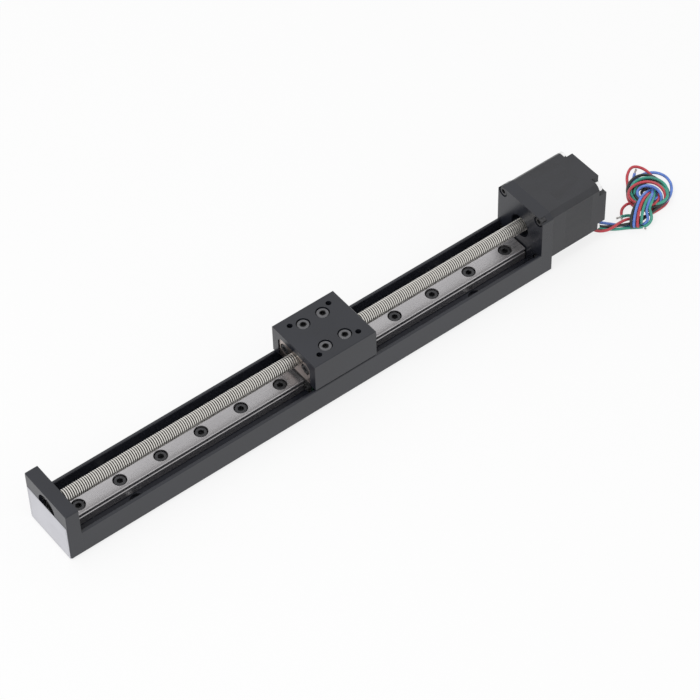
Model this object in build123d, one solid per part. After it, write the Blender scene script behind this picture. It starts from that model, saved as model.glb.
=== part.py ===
"""Stepper linear actuator: a ball-guided carriage driven along a channel by a lead screw on a square motor.

Millimetres, +Z up, +X from the bearing end to the motor. The origin is at the middle of the length and
width of the rigid body, on the surface that the channel stands on.
"""

import math
import os
from dataclasses import dataclass

from build123d import *

# Body
BODY_WIDTH = 29.0
CHANNEL_LENGTH = 236.0
CHANNEL_HEIGHT = 13.4
CHANNEL_FLOOR = 4.0
CHANNEL_WALL = 1.5
PLATE_THICKNESS = 6.0
LABEL_THICKNESS = 0.15
AXIS_HEIGHT = 20.3
EDGE_BREAK = 0.3
BOTTOM_CHAMFER = 1.4

# Motor
MOTOR_STEP = 0.4
MOTOR_SIDE = BODY_WIDTH - 2 * MOTOR_STEP
MOTOR_CHAMFER = 2.3
MOTOR_FRONT_CAP = 7.0
MOTOR_STACK = 15.0
MOTOR_REAR_CAP = 8.0
MOTOR_HOLE_INSET = 2.6
MOTOR_HOLE_SPACING = MOTOR_SIDE - 2 * MOTOR_HOLE_INSET
PILOT_DIAMETER = 22.0
PILOT_HEIGHT = 2.0
PILOT_RECESS_GAP = 0.2

# Guide rail and block, 9 mm size
RAIL_WIDTH = 9.0
RAIL_HEIGHT = 6.5
RAIL_END_GAP = 0.5
RAIL_PITCH = 20.0
RAIL_FIRST_BOLT = 7.5
RAIL_COUNTERBORE = 3.5
RACEWAY_RADIUS = 0.8
RACEWAY_DROP = 1.8
BALL_OFFSET = 0.3
BLOCK_SIDE_GAP = 4.5
BLOCK_WIDTH = BODY_WIDTH - 2 * BLOCK_SIDE_GAP
BLOCK_METAL_LENGTH = 18.9
BLOCK_FLOOR_GAP = 2.0
BLOCK_TOP = 10.0
BLOCK_SCREW_X = 10.0
BLOCK_SCREW_Y = 0.75 * BLOCK_WIDTH
BLOCK_TAP_DEPTH = 3.0
END_CAP_LENGTH = 4.5
END_CAP_STEP = 0.3
END_CAP_CORNER = 1.0
END_SCREW_LENGTH = 3.5
END_SCREW_RUNOUT = 0.5
SEAL_THICKNESS = 0.5

# Carriage
CARRIAGE_LENGTH = 31.5
CARRIAGE_GAP = 0.8
CARRIAGE_REST_TRAVEL = 113.35
OPENING_ABOVE_AXIS = 4.9
CAP_OPENING_TOP = AXIS_HEIGHT + OPENING_ABOVE_AXIS
CAP_ROOF = 3.2
CARRIAGE_TOP = CAP_OPENING_TOP + CAP_ROOF
CAP_LEG = 3.8
CAP_OPENING_CHAMFER = 1.9
NUT_BLOCK_SIDE_GAP = 0.25
NUT_BLOCK_RECESS = 0.5
TAP_SPACING = 20.0
TAP_DIAMETER = 2.5
TAP_DEPTH = 5.0
TAP_RELIEF = 0.6
CLAMP_HEAD_RECESS = 0.4
CLAMP_ENGAGEMENT = 2.5
END_MARGIN = 2.25

# Lead screw
SCREW_DIAMETER = 6.0
JOURNAL_DIAMETER = 5.0
SCREW_BEVEL = 0.5
SCREW_RELIEF = 0.1
NUT_BARREL_DIAMETER = 8.6
NUT_FLANGE_THICKNESS = 3.0
NUT_LENGTH = 20.0
NUT_SCREW_Y = 14.0
NUT_SCREW_LENGTH = 5.0
NUT_SCREW_HEAD_DEPTH = 2.4
NUT_SCREW_RUNOUT = 0.3

# Bearings
END_BEARING_OUTER = 11.0
END_BEARING_WIDTH = 4.0
MOTOR_BEARING_OUTER = 13.0
MOTOR_BEARING_WIDTH = 4.0
BEARING_SHOULDER = 0.8
RING_WALL = 1.0
SHIELD_THICKNESS = 0.4
SHIELD_GAP = 0.1
GROOVE_EDGE_SHARE = 0.2
GROOVE_WALL_SHARE = 0.6

# Mounting holes in the channel floor
BASE_HOLE_X = 175.0
BASE_HOLE_Y = 16.0
BASE_HOLE_DIAMETER = 3.4
BASE_COUNTERBORE_DIAMETER = 6.4
BASE_COUNTERBORE_DEPTH = 2.0

# Fits
THREAD_CLEARANCE = 0.05
SHANK_CLEARANCE = 0.2
HEAD_CLEARANCE = 0.3
NUT_CLEARANCE = 0.05
PILOT_CLEARANCE = 0.05
ROTOR_GAP = 0.3
SLIDE_CLEARANCE = 0.35

# Leads
LEAD_DIAMETER = 1.3
LEAD_BEND_SHARE = 0.45


# Screw heads
HEAD_BEVEL_SHARE = 0.12
SOCKET_SHARE = 0.55
RAIL_SCREW_END = 1.0


@dataclass
class ScrewSize:
    """A socket head screw: shank, head and hexagon sizes."""

    shank: float
    head: float
    head_height: float
    socket: float


M2 = ScrewSize(2.0, 3.8, 2.0, 1.5)
M25 = ScrewSize(2.5, 4.5, 2.5, 2.0)
M3 = ScrewSize(3.0, 5.5, 3.0, 2.5)
M3_LOW = ScrewSize(3.0, 5.5, 2.0, 2.0)
M16 = ScrewSize(1.6, 3.0, 0.8, 1.5)
M25_PAN = ScrewSize(2.5, 4.6, 1.8, 2.0)

# Stations along X, from the outer face of the label
TOTAL_LENGTH = (
    LABEL_THICKNESS + 2 * PLATE_THICKNESS + CHANNEL_LENGTH
    + MOTOR_FRONT_CAP + MOTOR_STACK + MOTOR_REAR_CAP
)
X_END_PLATE = -TOTAL_LENGTH / 2 + LABEL_THICKNESS
X_CHANNEL = X_END_PLATE + PLATE_THICKNESS
X_MOTOR_PLATE = X_CHANNEL + CHANNEL_LENGTH
X_MOTOR = X_MOTOR_PLATE + PLATE_THICKNESS
X_STACK = X_MOTOR + MOTOR_FRONT_CAP
X_REAR_CAP = X_STACK + MOTOR_STACK
X_MOTOR_END = X_REAR_CAP + MOTOR_REAR_CAP
X_CARRIAGE = X_CHANNEL + END_MARGIN + CARRIAGE_LENGTH / 2 + CARRIAGE_REST_TRAVEL

# Heights
PLATE_ABOVE_AXIS = 7.3
END_PLATE_HEIGHT = AXIS_HEIGHT + PLATE_ABOVE_AXIS
MOTOR_TOP = AXIS_HEIGHT + MOTOR_SIDE / 2
MOTOR_BOTTOM = AXIS_HEIGHT - MOTOR_SIDE / 2
RAIL_TOP = CHANNEL_FLOOR + RAIL_HEIGHT
BLOCK_BOTTOM = CHANNEL_FLOOR + BLOCK_FLOOR_GAP
BLOCK_HEIGHT_TOP = CHANNEL_FLOOR + BLOCK_TOP
CARRIAGE_BOTTOM = CHANNEL_HEIGHT + CARRIAGE_GAP
RACEWAY_HEIGHT = RAIL_TOP - RACEWAY_DROP

# Screws that hold the plates to the ends of the channel floor
PLATE_SCREW_INSET = 5.0
PLATE_SCREW_Y = BODY_WIDTH - 2 * PLATE_SCREW_INSET
PLATE_SCREW_HEIGHT = 2.3
PLATE_SCREW_LENGTH = 10.0
PLATE_HEAD_DEPTH = 2.3
PLATE_SCREW_RUNOUT = 1.0

# Label
LABEL_RIM = 0.7
LABEL_TOP = AXIS_HEIGHT - 0.8

PARTS = {}


def keep(name, *solids):
    """Put a sub-part in the list of nodes, one node for a group of like pieces."""
    flat = []
    for solid in solids:
        flat.extend(solid.solids())
    PARTS[name] = flat[0] if len(flat) == 1 else Compound(children=flat)
    return PARTS[name]


def block(x, y, z):
    """A box between two values on each axis."""
    size = [b - a for a, b in (x, y, z)]
    return Pos(x[0], y[0], z[0]) * Box(*size, align=(Align.MIN, Align.MIN, Align.MIN))


def rod_x(radius, x0, x1, y=0.0, z=AXIS_HEIGHT):
    """A cylinder along X."""
    turned = Rot(0, 90, 0) * Cylinder(radius, x1 - x0, align=(Align.CENTER, Align.CENTER, Align.MIN))
    return Pos(x0, y, z) * turned


def rod_z(radius, z0, z1, x=0.0, y=0.0):
    """A cylinder along Z."""
    return Pos(x, y, z0) * Cylinder(radius, z1 - z0, align=(Align.CENTER, Align.CENTER, Align.MIN))


def along_x(face, x0, x1):
    """A section drawn with Y across and Z up, made solid from x0 to x1."""
    plane = Plane(origin=(x0, 0, 0), x_dir=(0, 1, 0), z_dir=(1, 0, 0))
    return extrude(plane * face, amount=x1 - x0)


def section(points):
    """A flat face from corner points."""
    return make_face(Polyline(*points, close=True))


def turned_x(profile):
    """A solid of revolution about the screw axis, from (x, radius) points."""
    face = make_face(Plane.XZ * Polyline(*profile, close=True))
    return Pos(0, 0, AXIS_HEIGHT) * revolve(face, axis=Axis.X)


def screw(size, length):
    """A socket head screw with its seat at z = 0 and its head above."""
    head = rod_z(size.head / 2, 0, size.head_height)
    head = chamfer(head.edges().group_by(Axis.Z)[-1], size.head_height * HEAD_BEVEL_SHARE)
    socket_depth = size.head_height * SOCKET_SHARE
    hexagon = RegularPolygon(size.socket / 2, 6, major_radius=False)
    socket = Pos(0, 0, size.head_height - socket_depth) * extrude(hexagon, amount=socket_depth)
    shank = rod_z(size.shank / 2, -length, 0)
    return head - socket + shank


def screw_x(size, length, x, y, z, head_towards):
    """A screw along X whose head lies on the side given by head_towards, -1 or 1."""
    return Pos(x, y, z) * Rot(0, 90 * head_towards, 0) * screw(size, length)


def four(spacing_x, spacing_y):
    """The four corners of a rectangular pattern about zero."""
    return [(i * spacing_x / 2, j * spacing_y / 2) for i in (-1, 1) for j in (-1, 1)]


def motor_corners():
    """The four motor bolt places as (y, z)."""
    return [(y, AXIS_HEIGHT + z) for y, z in four(MOTOR_HOLE_SPACING, MOTOR_HOLE_SPACING)]


def square_section(side, corner):
    """A square with chamfered corners about the screw axis, Y across and Z up."""
    flat = Pos(0, AXIS_HEIGHT) * Rectangle(side, side)
    return chamfer(flat.vertices(), corner)


# Base channel

def rail_bolt_places():
    """X of each rail bolt, from the rail's bearing end."""
    rail_length = CHANNEL_LENGTH - 2 * RAIL_END_GAP
    count = int((rail_length - RAIL_FIRST_BOLT) // RAIL_PITCH) + 1
    start = X_CHANNEL + RAIL_END_GAP + RAIL_FIRST_BOLT
    return [start + i * RAIL_PITCH for i in range(count)]


def base_channel():
    """The U-shaped channel with its rail bolt holes, mounting holes and end holes."""
    half = BODY_WIDTH / 2
    inner = half - CHANNEL_WALL
    outline = section([
        (-half, 0), (half, 0), (half, CHANNEL_HEIGHT), (inner, CHANNEL_HEIGHT),
        (inner, CHANNEL_FLOOR), (-inner, CHANNEL_FLOOR), (-inner, CHANNEL_HEIGHT), (-half, CHANNEL_HEIGHT),
    ])
    inside = outline.vertices().filter_by(lambda v: abs(v.Y - CHANNEL_FLOOR) < 0.01)
    outline = fillet(inside, CHANNEL_WALL / 2)
    bottom = outline.vertices().group_by(Axis.Y)[0]
    outline = chamfer(bottom, BOTTOM_CHAMFER)
    rims = outline.vertices().group_by(Axis.Y)[-1]
    outline = chamfer(rims, EDGE_BREAK)
    channel = along_x(outline, X_CHANNEL, X_MOTOR_PLATE)
    for x in rail_bolt_places():
        channel -= rod_z(M3.shank / 2 + THREAD_CLEARANCE, 0, CHANNEL_FLOOR, x)
    middle = (X_CHANNEL + X_MOTOR_PLATE) / 2
    for x, y in four(BASE_HOLE_X, BASE_HOLE_Y):
        channel -= rod_z(BASE_HOLE_DIAMETER / 2, 0, CHANNEL_FLOOR, middle + x, y)
        seat = CHANNEL_FLOOR - BASE_COUNTERBORE_DEPTH
        channel -= rod_z(BASE_COUNTERBORE_DIAMETER / 2, seat, CHANNEL_FLOOR, middle + x, y)
    depth = PLATE_SCREW_LENGTH - (PLATE_THICKNESS - PLATE_HEAD_DEPTH) + PLATE_SCREW_RUNOUT
    for y in (-PLATE_SCREW_Y / 2, PLATE_SCREW_Y / 2):
        radius = M2.shank / 2 + THREAD_CLEARANCE
        channel -= rod_x(radius, X_CHANNEL, X_CHANNEL + depth, y, PLATE_SCREW_HEIGHT)
        channel -= rod_x(radius, X_MOTOR_PLATE - depth, X_MOTOR_PLATE, y, PLATE_SCREW_HEIGHT)
    return channel


# Bearing end

def end_plate_section():
    """The bearing end plate's outline, wide corner cuts below and soft corners above."""
    face = Pos(0, END_PLATE_HEIGHT / 2) * Rectangle(BODY_WIDTH, END_PLATE_HEIGHT)
    face = chamfer(face.vertices().group_by(Axis.Y)[0], BOTTOM_CHAMFER)
    return fillet(face.vertices().group_by(Axis.Y)[-1], 2 * EDGE_BREAK)


def bearing_end_plate():
    """The end plate with its bearing pocket open to the outside and a shoulder inside."""
    plate = along_x(end_plate_section(), X_END_PLATE, X_CHANNEL)
    plate = chamfer(plate.faces().sort_by(Axis.X)[0].edges(), EDGE_BREAK)
    plate -= rod_x(END_BEARING_OUTER / 2, X_END_PLATE, X_CHANNEL - BEARING_SHOULDER)
    plate -= rod_x(END_BEARING_OUTER / 2 - RING_WALL, X_END_PLATE, X_CHANNEL)
    for y in (-PLATE_SCREW_Y / 2, PLATE_SCREW_Y / 2):
        plate -= rod_x(M2.shank / 2 + SHANK_CLEARANCE, X_END_PLATE, X_CHANNEL, y, PLATE_SCREW_HEIGHT)
        plate -= rod_x(M2.head / 2 + HEAD_CLEARANCE / 2, X_END_PLATE, X_END_PLATE + PLATE_HEAD_DEPTH,
                       y, PLATE_SCREW_HEIGHT)
    return plate


def bearing(outer, width, x0):
    """A shielded ball bearing on the journal: outer ring, two shields and inner ring."""
    bore = JOURNAL_DIAMETER / 2
    outer_radius = outer / 2
    x1 = x0 + width
    middle = x0 + width / 2
    edge = width * GROOVE_EDGE_SHARE
    groove_wall = RING_WALL * GROOVE_WALL_SHARE
    outer_land = outer_radius - RING_WALL
    inner_land = bore + RING_WALL
    ring_outer = turned_x([
        (x0, outer_land), (x0 + edge, outer_land), (middle, outer_radius - groove_wall),
        (x1 - edge, outer_land), (x1, outer_land), (x1, outer_radius), (x0, outer_radius),
    ])
    ring_inner = turned_x([
        (x0, bore), (x1, bore), (x1, inner_land), (x1 - edge, inner_land),
        (middle, bore + groove_wall), (x0 + edge, inner_land), (x0, inner_land),
    ])
    shields = []
    inset = SHIELD_THICKNESS / 2
    for start in (x0 + inset, x1 - inset - SHIELD_THICKNESS):
        shield = rod_x(outer_land, start, start + SHIELD_THICKNESS)
        shields.append(shield - rod_x(inner_land + SHIELD_GAP, start, start + SHIELD_THICKNESS))
    return ring_outer, ring_inner, shields


def end_label():
    """The bare plate stuck over the lower part of the end plate, with the end plate's outline."""
    cut = Rectangle(BODY_WIDTH - 2 * LABEL_RIM, LABEL_TOP - LABEL_RIM)
    face = end_plate_section() & (Pos(0, (LABEL_TOP + LABEL_RIM) / 2) * cut)
    return along_x(face, X_END_PLATE - LABEL_THICKNESS, X_END_PLATE)


# Motor plate

def motor_plate():
    """The motor plate: pilot recess behind, screw opening, counterbored corners."""
    face = Pos(0, MOTOR_TOP / 2) * Rectangle(BODY_WIDTH, MOTOR_TOP)
    face = chamfer(face.vertices().group_by(Axis.Y)[0], BOTTOM_CHAMFER)
    face = chamfer(face.vertices().group_by(Axis.Y)[-1], MOTOR_CHAMFER)
    plate = along_x(face, X_MOTOR_PLATE, X_MOTOR)
    plate -= rod_x(END_BEARING_OUTER / 2, X_MOTOR_PLATE, X_MOTOR)
    pilot = PILOT_DIAMETER / 2 + PILOT_CLEARANCE
    plate -= rod_x(pilot, X_MOTOR - PILOT_HEIGHT - PILOT_RECESS_GAP, X_MOTOR)
    head_depth = M25.head_height + HEAD_CLEARANCE
    for y, z in motor_corners():
        plate -= rod_x(M25.shank / 2 + SHANK_CLEARANCE, X_MOTOR_PLATE, X_MOTOR, y, z)
        plate -= rod_x(M25.head / 2 + HEAD_CLEARANCE, X_MOTOR_PLATE, X_MOTOR_PLATE + head_depth, y, z)
    for y in (-PLATE_SCREW_Y / 2, PLATE_SCREW_Y / 2):
        plate -= rod_x(M2.shank / 2 + SHANK_CLEARANCE, X_MOTOR_PLATE, X_MOTOR, y, PLATE_SCREW_HEIGHT)
        plate -= rod_x(M2.head / 2 + HEAD_CLEARANCE / 2, X_MOTOR - PLATE_HEAD_DEPTH, X_MOTOR,
                       y, PLATE_SCREW_HEIGHT)
    return plate


def plate_screws(x_seat, head_towards):
    """The two screws that hold a plate to the channel floor."""
    screws = []
    for y in (-PLATE_SCREW_Y / 2, PLATE_SCREW_Y / 2):
        screws.append(screw_x(M2, PLATE_SCREW_LENGTH, x_seat, y, PLATE_SCREW_HEIGHT, head_towards))
    return screws


# Motor

MOUNT_SCREW_LENGTH = 5.5
CASE_SCREW_REACH = 4.0
NOTCH_DEPTH = 4.0
NOTCH_RADIUS = 3.0
COIL_OVERHANG = 1.3
COIL_END_GAP = 0.7
POLES = 8
STACK_WALL = 1.9
POLE_LENGTH = 4.2
POLE_ROOT_RADIUS = MOTOR_SIDE / 2 - STACK_WALL
POLE_TIP_RADIUS = POLE_ROOT_RADIUS - POLE_LENGTH
POLE_STEM = 2.6
POLE_STEM_ROOT = 0.4
POLE_SHOE = 1.0
POLE_SHOE_SHARE = 0.8
COIL_THICKNESS = 1.2
COIL_SHOE_GAP = 0.2
COIL_ROOT_GAP = 0.3
COIL_STEM_GAP = 0.1
MAGNET_THICKNESS = 2.0
MAGNET_STEP = 0.8
WASHER_THICKNESS = 0.4
WASHER_WIDTH = 1.2
WASHER_CLEARANCE = 0.2


def motor_front_cap():
    """The front end cap with its pilot boss, bearing pocket and coil hollow."""
    cap = along_x(square_section(MOTOR_SIDE, MOTOR_CHAMFER), X_MOTOR, X_STACK)
    cap += rod_x(PILOT_DIAMETER / 2, X_MOTOR - PILOT_HEIGHT, X_MOTOR)
    cap -= rod_x(SCREW_DIAMETER / 2 + 2 * ROTOR_GAP, X_MOTOR - PILOT_HEIGHT, X_STACK)
    pocket_end = front_bearing_start() + MOTOR_BEARING_WIDTH
    cap -= rod_x(MOTOR_BEARING_OUTER / 2, front_bearing_start(), X_STACK)
    cap -= rod_x(POLE_ROOT_RADIUS, pocket_end, X_STACK)
    for y, z in motor_corners():
        cap -= rod_x(M25.shank / 2 + THREAD_CLEARANCE, X_MOTOR, X_STACK, y, z)
    return cap


def front_bearing_start():
    """X where the front bearing's outer face lies."""
    return X_STACK - COIL_OVERHANG - COIL_END_GAP - MOTOR_BEARING_WIDTH


def rear_bearing_start():
    """X where the rear bearing's inner face lies."""
    return X_REAR_CAP + COIL_OVERHANG + COIL_END_GAP


def motor_rear_cap():
    """The rear end cap: corner notches for the case screws, bearing pocket, lead window below."""
    cap = along_x(square_section(MOTOR_SIDE, MOTOR_CHAMFER), X_REAR_CAP, X_MOTOR_END)
    cap -= rod_x(POLE_ROOT_RADIUS, X_REAR_CAP, rear_bearing_start())
    pocket_end = rear_bearing_start() + MOTOR_BEARING_WIDTH + WASHER_THICKNESS
    cap -= rod_x(MOTOR_BEARING_OUTER / 2, X_REAR_CAP, pocket_end)
    notch_floor = X_MOTOR_END - NOTCH_DEPTH
    for y, z in motor_corners():
        cap -= rod_x(M25.shank / 2 + SHANK_CLEARANCE, X_REAR_CAP, X_MOTOR_END, y, z)
        side_y = math.copysign(1, y)
        side_z = math.copysign(1, z - AXIS_HEIGHT)
        depth = (notch_floor, X_MOTOR_END)
        cap -= rod_x(NOTCH_RADIUS, notch_floor, X_MOTOR_END, y, z)
        cap -= block(depth, sorted((y, y + side_y * MOTOR_SIDE)),
                     sorted((z - side_z * NOTCH_RADIUS, z + side_z * MOTOR_SIDE)))
        cap -= block(depth, sorted((y - side_y * NOTCH_RADIUS, y + side_y * MOTOR_SIDE)),
                     sorted((z, z + side_z * MOTOR_SIDE)))
    cap -= lead_window(0.0)
    return cap


# Lead guide under the rear cap: its slanted side faces the hank
GUIDE_START = X_MOTOR_END - 7.8
GUIDE_END = X_MOTOR_END - 1.2
GUIDE_FAR_Y = 5.0
GUIDE_END_Y = -1.7
GUIDE_START_Y = -7.2
GUIDE_DROP = 3.4
GUIDE_EDGE = 0.6
GUIDE_BOTTOM = MOTOR_BOTTOM - GUIDE_DROP
WINDOW_INSET = 0.8
WINDOW_DEPTH = 1.5
WINDOW_LENGTH = 3.5
WINDOW_CLEARANCE = 0.1


def lead_window(clearance):
    """The space in the rear cap's lower side that the lead guide plugs into."""
    end = GUIDE_END - WINDOW_INSET
    return block((end - WINDOW_LENGTH + clearance, end - clearance),
                 (GUIDE_END_Y + clearance, GUIDE_FAR_Y - WINDOW_INSET - clearance),
                 (MOTOR_BOTTOM, MOTOR_BOTTOM + WINDOW_DEPTH))


def lead_guide():
    """The plastic guide that the four leads leave through, square to its slanted side."""
    plan = section([
        (GUIDE_START, GUIDE_START_Y), (GUIDE_END, GUIDE_END_Y),
        (GUIDE_END, GUIDE_FAR_Y), (GUIDE_START, GUIDE_FAR_Y),
    ])
    body = extrude(Plane(origin=(0, 0, GUIDE_BOTTOM)) * plan, amount=GUIDE_DROP)
    body = chamfer(body.faces().sort_by(Axis.Z)[0].edges(), GUIDE_EDGE)
    return body + lead_window(WINDOW_CLEARANCE)


def motor_stator():
    """The lamination stack: a chamfered square frame with eight poles."""
    face = square_section(MOTOR_SIDE, MOTOR_CHAMFER) - Pos(0, AXIS_HEIGHT) * Circle(POLE_ROOT_RADIUS)
    middle = (POLE_TIP_RADIUS + POLE_ROOT_RADIUS) / 2
    shoe_outer = Circle(POLE_TIP_RADIUS + POLE_SHOE) - Circle(POLE_TIP_RADIUS)
    shoe_half = math.radians(POLE_SHOE_SHARE * 180 / POLES)
    reach = MOTOR_SIDE
    wedge = section([(0, 0), (reach * math.cos(shoe_half), -reach * math.sin(shoe_half)),
                     (reach * math.cos(shoe_half), reach * math.sin(shoe_half))])
    stem_length = POLE_ROOT_RADIUS - POLE_TIP_RADIUS + POLE_STEM_ROOT
    stem = Pos(middle + POLE_STEM_ROOT / 2, 0) * Rectangle(stem_length, POLE_STEM)
    pole = (shoe_outer & wedge) + (stem - Circle(POLE_TIP_RADIUS))
    for i in range(POLES):
        face += Pos(0, AXIS_HEIGHT) * Rot(0, 0, i * 360 / POLES) * pole
    stack = along_x(face, X_STACK, X_REAR_CAP)
    for y, z in motor_corners():
        stack -= rod_x(M25.shank / 2 + SHANK_CLEARANCE, X_STACK, X_REAR_CAP, y, z)
    return stack


def stator_coils():
    """One wound coil round each pole."""
    inner = POLE_TIP_RADIUS + POLE_SHOE + COIL_SHOE_GAP
    outer = POLE_ROOT_RADIUS - COIL_ROOT_GAP
    half = POLE_STEM / 2 + COIL_STEM_GAP
    coils = []
    for i in range(POLES):
        outside = block((X_STACK - COIL_OVERHANG, X_REAR_CAP + COIL_OVERHANG),
                        (-half - COIL_THICKNESS, half + COIL_THICKNESS), (inner, outer))
        outside = fillet(outside.edges().filter_by(Axis.Z), COIL_THICKNESS / 2)
        window = block((X_STACK - COIL_STEM_GAP, X_REAR_CAP + COIL_STEM_GAP), (-half, half), (inner, outer))
        coil = outside - window
        coils.append(Pos(0, 0, AXIS_HEIGHT) * Rot(i * 360 / POLES, 0, 0) * coil)
    return coils


def rotor_parts():
    """Two rotor cups with a ring magnet between them, pressed on the screw's motor end."""
    radius = POLE_TIP_RADIUS - ROTOR_GAP
    bore = JOURNAL_DIAMETER / 2
    cup_length = (MOTOR_STACK - MAGNET_THICKNESS) / 2
    cups = []
    for start in (X_STACK, X_STACK + cup_length + MAGNET_THICKNESS):
        cups.append(rod_x(radius, start, start + cup_length) - rod_x(bore, start, start + cup_length))
    magnet_start = X_STACK + cup_length
    magnet_end = magnet_start + MAGNET_THICKNESS
    magnet = rod_x(radius - MAGNET_STEP, magnet_start, magnet_end)
    return cups, magnet - rod_x(bore, magnet_start, magnet_end)


def wave_washer():
    """The spring washer that loads the rear bearing."""
    start = rear_bearing_start() + MOTOR_BEARING_WIDTH
    outer = MOTOR_BEARING_OUTER / 2 - WASHER_CLEARANCE
    ring = rod_x(outer, start, start + WASHER_THICKNESS)
    return ring - rod_x(outer - WASHER_WIDTH, start, start + WASHER_THICKNESS)


# Screw

def lead_screw():
    """The lead screw at its thread's outside diameter, with a journal at each end."""
    thread = SCREW_DIAMETER / 2
    journal = JOURNAL_DIAMETER / 2
    tip = X_CHANNEL - BEARING_SHOULDER - END_BEARING_WIDTH
    shoulder = X_CHANNEL - BEARING_SHOULDER
    front = front_bearing_start()
    tail = rear_bearing_start() + MOTOR_BEARING_WIDTH
    return turned_x([
        (tip, 0), (tip, journal - SCREW_BEVEL), (tip + SCREW_BEVEL, journal), (shoulder, journal),
        (shoulder, thread - SCREW_RELIEF), (shoulder + SCREW_BEVEL, thread), (front - SCREW_BEVEL, thread),
        (front, thread - SCREW_RELIEF), (front, journal), (tail - SCREW_BEVEL, journal),
        (tail, journal - SCREW_BEVEL), (tail, 0),
    ])


# Guide

def rail_section():
    """The guide rail's section with a ball raceway on each side."""
    face = Pos(0, CHANNEL_FLOOR + RAIL_HEIGHT / 2) * Rectangle(RAIL_WIDTH, RAIL_HEIGHT)
    face = chamfer(face.vertices(), EDGE_BREAK)
    for side in (-1, 1):
        face -= Pos(side * (RAIL_WIDTH / 2 + BALL_OFFSET), RACEWAY_HEIGHT) * Circle(RACEWAY_RADIUS)
    return face


def guide_rail():
    """The rail with a row of counterbored bolt holes."""
    rail = along_x(rail_section(), X_CHANNEL + RAIL_END_GAP, X_MOTOR_PLATE - RAIL_END_GAP)
    for x in rail_bolt_places():
        rail -= rod_z(M3.shank / 2 + SHANK_CLEARANCE, CHANNEL_FLOOR, RAIL_TOP, x)
        rail -= rod_z(M3.head / 2 + HEAD_CLEARANCE, RAIL_TOP - RAIL_COUNTERBORE, RAIL_TOP, x)
    return rail


def rail_screws():
    """The rail bolts, seated in the counterbores and ending inside the channel floor."""
    seat = RAIL_TOP - RAIL_COUNTERBORE
    return [Pos(x, 0, seat) * screw(M3, seat - RAIL_SCREW_END) for x in rail_bolt_places()]


def saddle_section(width, bottom, top, slot, slot_top, corner):
    """A saddle outline over the rail: a box with a slot cut up from below."""
    face = Pos(0, (bottom + top) / 2) * Rectangle(width, top - bottom)
    face = chamfer(face.vertices(), corner)
    return face - Pos(0, (bottom + slot_top) / 2) * Rectangle(slot, slot_top - bottom)


def guide_block():
    """The steel guide block with its raceways and four tapped holes."""
    slot = RAIL_WIDTH + 4 * BALL_OFFSET
    face = saddle_section(BLOCK_WIDTH, BLOCK_BOTTOM, BLOCK_HEIGHT_TOP, slot, RAIL_TOP + SLIDE_CLEARANCE,
                          2 * EDGE_BREAK)
    for side in (-1, 1):
        face -= Pos(side * (RAIL_WIDTH / 2 + BALL_OFFSET), RACEWAY_HEIGHT) * Circle(RACEWAY_RADIUS)
    half = BLOCK_METAL_LENGTH / 2
    body = along_x(face, X_CARRIAGE - half, X_CARRIAGE + half)
    radius = M3.shank / 2 + THREAD_CLEARANCE
    for x, y in four(BLOCK_SCREW_X, BLOCK_SCREW_Y):
        body -= rod_z(radius, BLOCK_HEIGHT_TOP - BLOCK_TAP_DEPTH, BLOCK_HEIGHT_TOP, X_CARRIAGE + x, y)
    return body


def block_end(side):
    """The end cap and seal on one end of the guide block, side -1 or 1, with two small screws."""
    near = X_CARRIAGE + side * BLOCK_METAL_LENGTH / 2
    far = near + side * END_CAP_LENGTH
    outer = far + side * SEAL_THICKNESS
    slot = RAIL_WIDTH + 2 * SLIDE_CLEARANCE
    face = saddle_section(BLOCK_WIDTH - 2 * END_CAP_STEP, BLOCK_BOTTOM, BLOCK_HEIGHT_TOP - END_CAP_STEP,
                          slot, RAIL_TOP + SLIDE_CLEARANCE, END_CAP_CORNER)
    cap = along_x(face, *sorted((near, far)))
    seal_slot = RAIL_WIDTH + SLIDE_CLEARANCE
    face = saddle_section(BLOCK_WIDTH - 4 * END_CAP_STEP, BLOCK_BOTTOM + END_CAP_STEP,
                          BLOCK_HEIGHT_TOP - 2 * END_CAP_STEP, seal_slot,
                          RAIL_TOP + SLIDE_CLEARANCE / 2, END_CAP_CORNER)
    seal = along_x(face, *sorted((far, outer)))
    screws = []
    leg_middle = (RAIL_WIDTH + BLOCK_WIDTH) / 4
    hole_end = outer - side * (END_SCREW_LENGTH + END_SCREW_RUNOUT)
    for y in (-leg_middle, leg_middle):
        hole = rod_x(M16.shank / 2 + THREAD_CLEARANCE, *sorted((hole_end, outer)), y, RACEWAY_HEIGHT)
        cap -= hole
        seal -= hole
        screws.append(screw_x(M16, END_SCREW_LENGTH, outer, y, RACEWAY_HEIGHT, side))
    return cap, seal, screws


# Carriage

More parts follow.
